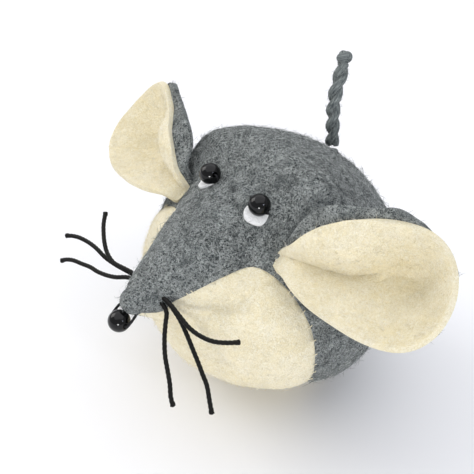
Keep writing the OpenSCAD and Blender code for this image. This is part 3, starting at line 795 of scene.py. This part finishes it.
def leafReach(front):
    # distance from the leaf's middle to its edge at each degree, with the corners eased
    reach = []
    for degree in range(360):
        low, high = 0.0, earShape["length"]
        angle = math.radians(degree)
        for _ in range(24):
            middle = (low + high) / 2
            if inLeaf(leafCentre.x + middle * math.cos(angle), leafCentre.y + middle * math.sin(angle), front):
                low = middle
            else:
                high = middle
        reach.append(low)
    for _ in range(5):
        reach = [(reach[i - 1] + 2 * reach[i] + reach[(i + 1) % 360]) / 4 for i in range(360)]
    return reach


leafEdges = {True: leafReach(True), False: leafReach(False)}


def edgeAt(front, degree):
    share = degree - math.floor(degree)
    first = int(degree) % 360
    return leafEdges[front][first] * (1 - share) + leafEdges[front][(first + 1) % 360] * share


def earCup(x, y):
    # height of the middle layer: a sharp pleat at the root opens into a bowl towards the tip
    u = x / earShape["length"]
    half, middle = max(leafHalf(u), 5 * mm), leafMiddle(u)
    pleat = (0.3 - 3.7 * smoothStep(0.36, 0.64, u)) * mm
    opening = 0.2 + 0.8 * smoothStep(-0.03, 0.3, u)
    if y < pleat:
        s = (pleat - y) / max(pleat - middle + half, 6 * mm)
        fold = earShape["upperCup"] * (1 - (1 - min(s, 1.0)) ** 4)
    else:
        s = (y - pleat) / max(middle + half - pleat, 6 * mm)
        fold = earShape["lowerCup"] * min(s, 1.1) ** 1.15
    away = Vector((x, y)) - leafCentre
    angle = math.atan2(away.y, away.x)
    share = away.length / edgeAt(True, math.degrees(angle) % 360)
    tip, upper, lower = max(0, math.cos(angle)) ** 2, max(0, -math.sin(angle)) ** 2, max(0, math.sin(angle)) ** 2
    rim = earShape["tipCup"] * tip + earShape["upperCup"] * upper + earShape["lowerCup"] * lower
    steep = 1.9 + 1.5 * tip - 0.6 * upper
    bowl = rim * (min(share, 1.0) ** steep + 0.45 * steep * max(0, share - 1))
    opened = smoothStep(0.36, 0.62, u)
    sunk = earShape["sink"] * (1 - smoothStep(0.0, 0.09, u))
    trough = earShape["trough"] * hill(y, pleat, 3 * mm) * smoothStep(0.2, 0.45, u) * (1 - smoothStep(0.72, 0.95, u))
    deep = earShape["deep"] * hill(x, 28 * mm, 8.5 * mm) * hill(y, -1.5 * mm, 6.5 * mm)
    return trough + deep + earShape["seat"] * smoothStep(-0.05, 0.25, u) - fold * opening * (1 - opened) - bowl * opened + sunk


def bendAtRoot(piece):
    # the modifiers are applied, so the final mesh has its thickness in it, and its place is baked in
    bpy.context.view_layer.update()
    final = bpy.data.meshes.new_from_object(piece.evaluated_get(bpy.context.evaluated_depsgraph_get()))
    piece.modifiers.clear()
    piece.data = final
    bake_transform(piece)


def makeEarLayer(side, name, front, finish, node):
    # a grid is wound round the leaf's middle, in spokes and rings that reach to the outline
    bm = bmesh.new()
    bmesh.ops.create_grid(bm, x_segments=earShape["spokes"], y_segments=earShape["rings"], size=1.0)
    for v in bm.verts:
        degree = 180 * (v.co.x + 1) % 360
        reach = (v.co.y + 1) / 2 * edgeAt(front, degree)
        x = leafCentre.x + reach * math.cos(math.radians(degree))
        y = leafCentre.y + reach * math.sin(math.radians(degree))
        v.co = Vector((x, y, 0))
    bmesh.ops.remove_doubles(bm, verts=bm.verts, dist=0.002 * mm)
    plainArea = sum(f.calc_area() for f in bm.faces)
    flatSize = (max(v.co.y for v in bm.verts) - min(v.co.y for v in bm.verts),
                max(v.co.x for v in bm.verts) - min(v.co.x for v in bm.verts))
    for v in bm.verts:
        ripple = 0.25 * mm * noise.noise(Vector((v.co.x / (8 * mm), v.co.y / (6 * mm), 3.0 * side)))
        v.co.z = earCup(v.co.x, v.co.y) + ripple
    bmesh.ops.smooth_vert(bm, verts=bm.verts, factor=0.5, use_axis_x=False, use_axis_y=False, use_axis_z=True)
    # the cut was as much wider as the pleat and the hollow take up
    flatArea = sum(f.calc_area() for f in bm.faces)
    flatSize = (flatSize[0] * flatArea / plainArea, flatSize[1])
    bmesh.ops.recalc_face_normals(bm, faces=bm.faces)
    bm.normal_update()
    if sum((f.normal for f in bm.faces), Vector()).z < 0:
        bmesh.ops.reverse_faces(bm, faces=bm.faces)
    bm.normal_update()
    shift = -earShape["gap"] / 2 if front else earShape["gap"] / 2 + earShape["felt"]
    for v, normal in [(v, v.normal.copy()) for v in bm.verts]:
        v.co += normal * shift
    bmesh.ops.transform(bm, matrix=earPlace(side), verts=bm.verts)
    if side < 0:
        bmesh.ops.reverse_faces(bm, faces=bm.faces)
    outer = bm.copy()  # hairs grow on the side that shows, which is the hollow one on the lining
    if front:
        outer.normal_update()
        for v, normal in [(v, v.normal.copy()) for v in outer.verts]:
            v.co -= normal * earShape["felt"]
        bmesh.ops.reverse_faces(outer, faces=outer.faces)
    outer.normal_update()
    hairs = makeHairs(f"{name}_hairs", outer.faces[:], 11, "creamWoolHair" if front else "greyWoolHair", None,
                      seed=30 + 2 * side + front, lengthShare=0.75)
    outer.free()
    bendAtRoot(hairs)
    piece = finishPiece(name, bm, finish, None, [node])
    addThickness(piece, earShape["felt"])
    edge = piece.modifiers.new("softEdge", "BEVEL")
    edge.width = 0.3 * mm
    edge.segments = 3
    edge.limit_method = "ANGLE"
    edge.angle_limit = math.radians(50)
    bendAtRoot(piece)
    print(name, "cut from", [round(size / mm, 1) for size in flatSize], "mm,", round(flatArea / mm ** 2), "mm2")


for sideName, side in (("left", 1), ("right", -1)):
    for layer, front, finish, slot, node in (("lining", True, "creamFelt", "cream_felt", "inner"),
                                             ("back", False, "greyFelt", "grey_felt", "outer")):
        makeEarLayer(side, f"ear_{sideName}_{layer}", front, finish, f"ear_{sideName}_{node}")


# Three stitches hold the back of each ear down on the head
earStitch = {"diameter": 0.35 * mm, "across": (-2.2 * mm, 1.0 * mm, 4.2 * mm)}


def makeEarStitches(side, sideName):
    bm = bmesh.new()
    place = earPlace(side)
    for y in earStitch["across"]:
        behind = earShape["felt"] + 0.1 * mm
        points = [Vector((x, y, earCup(x, y) + behind + lift))
                  for x, lift in ((4.6 * mm, -0.6 * mm), (4.2 * mm, 0.15 * mm), (2.6 * mm, 0.3 * mm))]
        points = [place @ p for p in points]
        foot = bodyTree.find_nearest(place @ Vector((1.2 * mm, y, behind + 2 * mm)))
        points += [foot[0] + 0.3 * mm * foot[1], foot[0] - 0.8 * mm * foot[1]]
        addThread(bm, points, earStitch["diameter"])
    piece = finishPiece(f"ear_{sideName}_thread", bm, "greyThread", None,
                        [f"ear_{sideName}_stitches"])
    bendAtRoot(piece)


makeEarStitches(1, "left")
makeEarStitches(-1, "right")
print("ears made")


# Beads

beadShape = {"radius": 2.5 * mm, "bore": 0.55 * mm, "lip": 0.18 * mm}


def makeBead(name, joint, body, node):
    # a profile spun round the bore: outside, rounded lip, and the wall of the hole
    bm = bmesh.new()
    spec = joints[joint]
    radius, bore, lip = beadShape["radius"], beadShape["bore"], beadShape["lip"]
    start = math.asin((bore + lip) / radius)
    profile = []
    for i in range(33):
        a = start + (math.pi - 2 * start) * i / 32
        profile.append(Vector((radius * math.sin(a), 0, radius * math.cos(a))))
    lipEnd = profile[-1]
    profile.append(Vector((bore + lip * 0.3, 0, lipEnd.z + lip * 0.25)))
    profile.append(Vector((bore, 0, lipEnd.z + lip)))
    profile.append(Vector((bore, 0, -lipEnd.z - lip)))
    profile.append(Vector((bore + lip * 0.3, 0, -lipEnd.z - lip * 0.25)))
    verts = [bm.verts.new(p) for p in profile]
    edges = [bm.edges.new((verts[i], verts[(i + 1) % len(verts)])) for i in range(len(verts))]
    bmesh.ops.spin(bm, geom=verts + edges, cent=(0, 0, 0), axis=(0, 0, 1), angle=2 * math.pi, steps=56,
                   use_merge=True)
    bmesh.ops.remove_doubles(bm, verts=bm.verts, dist=0.001 * mm)
    turn = Vector(spec["axis"]).to_track_quat("Z", "Y").to_matrix().to_4x4()
    bmesh.ops.transform(bm, matrix=Matrix.Translation(spec["pos_m"]) @ turn, verts=bm.verts)
    bmesh.ops.recalc_face_normals(bm, faces=bm.faces)
    return finishPiece(name, bm, "blackBeadGlass", body, [node])


makeBead("eye_left_glass", "eye_left_spin", "eye_left", "eye_left_bead")
makeBead("eye_right_glass", "eye_right_spin", "eye_right", "eye_right_bead")
makeBead("nose_glass", "nose_spin", "nose", "nose_bead")
print("beads made")


# Eye discs: white felt, laid on the head under each bead

discShape = {"radius": 2.75 * mm, "thickness": 1.0 * mm, "outward": {1: 0.7 * mm, -1: 1.9 * mm},
             "ahead": {1: 1.6 * mm, -1: 0.5 * mm}, "segments": 40}


def makeDisc(name, joint, side, node):
    bead = Vector(joints[joint]["pos_m"])
    under, out = bodyTree.find_nearest(bead)[:2]
    print("bead centre stands", round((bead - under).length / mm, 2), "mm over the skin")
    centre = under + Vector((side * discShape["outward"][side], -discShape["ahead"][side], 0))
    ahead = (Vector((0, -1, 0)) + out.y * out).normalized()
    across = out.cross(ahead)
    bm = bmesh.new()
    bmesh.ops.create_circle(bm, cap_ends=True, cap_tris=True, segments=discShape["segments"], radius=1.0)
    bmesh.ops.subdivide_edges(bm, edges=bm.edges, cuts=3, use_grid_fill=True)
    for v in bm.verts:
        a = math.atan2(v.co.y, v.co.x)
        far = min(1.0, v.co.length)
        wobble = 1 + 0.035 * math.sin(3 * a + 1) + 0.02 * math.sin(5 * a)
        reach = far * wobble * discShape["radius"]
        spot = centre + across * reach * math.cos(a) + ahead * reach * math.sin(a)
        skin = bodyTree.ray_cast(spot + 6 * mm * out, -out)[0] or spot
        v.co = skin + out * discShape["thickness"] * (0.8 + 0.1 * math.sin(4 * a) * far ** 2)
    bmesh.ops.recalc_face_normals(bm, faces=bm.faces)
    bm.normal_update()
    if sum((f.normal for f in bm.faces), Vector()).dot(out) < 0:
        bmesh.ops.reverse_faces(bm, faces=bm.faces)
    piece = finishPiece(name, bm, "whiteFelt", "body", [node])
    addThickness(piece, discShape["thickness"])
    edge = piece.modifiers.new("softEdge", "BEVEL")
    edge.width = 0.25 * mm
    edge.segments = 3
    edge.limit_method = "ANGLE"


makeDisc("eye_left_felt", "eye_left_spin", 1, "eye_left_disc")
makeDisc("eye_right_felt", "eye_right_spin", -1, "eye_right_disc")
print("discs made")


# Black sewing thread: through each bead and down into the felt beside it
beadThread = {"eyeDiameter": 0.45 * mm, "noseDiameter": 0.7 * mm, "off": 0.3 * mm}


def makeEyeThread(name, joint, node):
    bead, axis = Vector(joints[joint]["pos_m"]), Vector(joints[joint]["axis"])
    under, out = bodyTree.find_nearest(bead)[:2]
    height = (bead - under).length
    edge = beadShape["radius"] + beadThread["off"]
    half = [(0.3 * edge, -height - 0.8 * mm), (0.62 * edge, -0.82 * height), (0.9 * edge, -0.42 * height),
            (edge, -0.12 * height), (0.85 * edge, 0), (0.4 * edge, 0)]
    points = [bead - axis * a + out * h for a, h in half] + [bead]
    points += [bead + axis * a + out * h for a, h in reversed(half)]
    bm = bmesh.new()
    addThread(bm, points, beadThread["eyeDiameter"], sides=12)
    finishPiece(name, bm, "blackThread", "body", [node])


def makeNoseThread():
    bead = Vector(joints["nose_spin"]["pos_m"])
    edge = beadShape["radius"] + beadThread["off"]
    foot = ballCentre + Vector((0, bodyShape["cap"] - snoutReach, headHeight(snoutReach)))
    half = []
    for x, share in ((0.55, -0.45), (0.85, 0.1), (1.0, 0.45), (1.03, 0.8), (0.95, 1.0), (0.4, 1.0)):
        place = foot.lerp(bead, share)
        half.append(Vector((x * edge, place.y, place.z)))
    points = half + [bead] + [Vector((-p.x, p.y, p.z)) for p in reversed(half)]
    bm = bmesh.new()
    addThread(bm, points, beadThread["noseDiameter"], sides=14)
    finishPiece("nose_thread_loop", bm, "blackThread", "body", ["nose_thread"])


makeEyeThread("eye_left_thread_loop", "eye_left_spin", "eye_left_thread")
makeEyeThread("eye_right_thread_loop", "eye_right_spin", "eye_right_thread")
makeNoseThread()
print("threads made")


# Tail: two plies of wool yarn

tailShape = {"pivotUp": 0, "length": 20.5 * mm, "diameter": 3.2 * mm, "lay": 8.6 * mm, "plyRadius": 0.98 * mm,
             "plyOut": 0.72 * mm, "rings": 110, "sides": 20, "rooted": 2.5 * mm}
tailLine = [(0, -0.04), (-0.02, 0.25), (-0.03, 0.5), (0, 0.7), (0.05, 0.86), (0.08, 1)]


def makeTail():
    pivot = Vector(joints["tail_sway"]["pos_m"])
    spine = [pivot + Vector((0, b, h)) * tailShape["length"] for b, h in tailLine]
    path, whole = evenPath(smoothPath(spine, 8), tailShape["rings"])
    bm = bmesh.new()
    for ply in range(2):
        strand = []
        for i, p in enumerate(path):
            ahead = (path[min(i + 1, len(path) - 1)] - path[max(i - 1, 0)]).normalized()
            across = Vector((1, 0, 0))
            fore = ahead.cross(across)
            turn = 2 * math.pi * i / tailShape["rings"] * whole / tailShape["lay"] + math.pi * ply
            strand.append(p + tailShape["plyOut"] * (math.cos(turn) * across + math.sin(turn) * fore))
        addTube(bm, strand, tailShape["sides"], lambda s, w, a: tailShape["plyRadius"]
                * math.sqrt(max(0.05, 1 - (1 - min(1, min(s, w - s) / (0.6 * mm))) ** 2)))
    bm.normal_update()
    fuzz = makeHairs("tail_hairs", bm.faces[:], 9, "greyWoolHair", None, seed=41, lengthShare=0.5)
    yarn = finishPiece("tail_yarn", bm, "greyWoolYarn", None, ["tail"])
    for piece in (fuzz, yarn):
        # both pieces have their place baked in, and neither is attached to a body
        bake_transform(piece)


tailKnot = {"yarn": 0.95 * mm, "loop": 0.62 * mm, "swell": 1.25 * mm, "tall": 1.15, "steps": 120}


def addKnot(bm, centre):
    # the yarn passes three times round itself, drawn tight into a small oval
    points = []
    for i in range(tailKnot["steps"]):
        a = 2 * math.pi * i / tailKnot["steps"] * 0.97
        ring = tailKnot["loop"] + 0.5 * tailKnot["loop"] * math.cos(3 * a)
        points.append(centre + Vector((ring * math.cos(2 * a), ring * math.sin(2 * a),
                                       tailKnot["tall"] * 0.6 * tailKnot["loop"] * math.sin(3 * a))))
    addTube(bm, points, 16, lambda s, w, a: tailKnot["yarn"])


def makeKnots():
    low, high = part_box("tail_knot")
    bm = bmesh.new()
    addKnot(bm, (low + high) / 2)
    finishPiece("tail_end_knot", bm, "greyWoolYarn", "tail", ["tail_knot"])
    low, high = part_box("tail_anchor")
    middle = (low + high) / 2
    bm = bmesh.new()
    addKnot(bm, Vector((middle.x, middle.y, low.z + 1.9 * mm)))
    addTube(bm, evenPath([Vector((middle.x, middle.y, low.z + 2 * mm)), Vector((middle.x, middle.y, high.z))], 16)[0],
            16, lambda s, w, a: tailShape["diameter"] / 2 * (0.9 + 0.1 * math.cos(2 * a)),
            lambda s: 2 * math.pi * s / tailShape["lay"])
    finishPiece("tail_inner_knot", bm, "greyWoolYarn", "body", ["tail_anchor"])


makeTail()
makeKnots()
print("tail made")


# Floor and light

def makeStage():
    bm = bmesh.new()
    bmesh.ops.create_grid(bm, x_segments=2, y_segments=2, size=1.5)
    bmesh.ops.translate(bm, vec=(0, 0, -0.02 * mm), verts=bm.verts)
    mesh = bpy.data.meshes.new("paperFloor")
    bm.to_mesh(mesh)
    bm.free()
    material, tree = newMaterial("paleCard")
    surface = addNode(tree, "ShaderNodeBsdfPrincipled", inputs={"Base Color": linearColour("#F5F5F7"),
                                                                "Roughness": 0.8})
    addNode(tree, "ShaderNodeOutputMaterial", inputs={"Surface": surface.outputs["BSDF"]})
    mesh.materials.append(material)
    floor = bpy.data.objects.new("paperFloor", mesh)
    bpy.context.scene.collection.objects.link(floor)


lights = [
    {"name": "ceiling", "at": (-0.15, 0.10, 1.00), "size": 2.0, "power": 11.5, "colour": "#FBFCFF", "gloss": 1.0},
    {"name": "skyLeft", "at": (-0.70, -0.30, 0.50), "size": 0.5, "power": 2.3, "colour": "#FFFDF8", "gloss": 0.1},
    {"name": "windowFront", "at": (0.55, -0.58, 0.04), "size": 0.20, "power": 3.1, "colour": "#FFFFFF", "gloss": 1.0},
    {"name": "windowSide", "at": (0.62, 0.05, 0.36), "size": 0.09, "power": 0.5, "colour": "#E4ECFF", "gloss": 1.0},
]


def makeLights():
    for spec in lights:
        data = bpy.data.lights.new(spec["name"], "AREA")
        data.size = spec["size"]
        data.energy = spec["power"]
        data.color = linearColour(spec["colour"])[:3]
        data.specular_factor = spec["gloss"]
        lamp = bpy.data.objects.new(spec["name"], data)
        lamp.location = spec["at"]
        aim = Vector((0, 0, 0.03)) - Vector(spec["at"])
        lamp.rotation_euler = aim.to_track_quat("-Z", "Y").to_euler()
        bpy.context.scene.collection.objects.link(lamp)
    world = bpy.data.worlds.new("roomLight")
    world.use_nodes = True
    world.node_tree.nodes["Background"].inputs["Color"].default_value = linearColour("#FBFCFF")
    world.node_tree.nodes["Background"].inputs["Strength"].default_value = 0.5
    bpy.context.scene.world = world
    bpy.context.scene.view_settings.view_transform = "Standard"


makeStage()
makeLights()
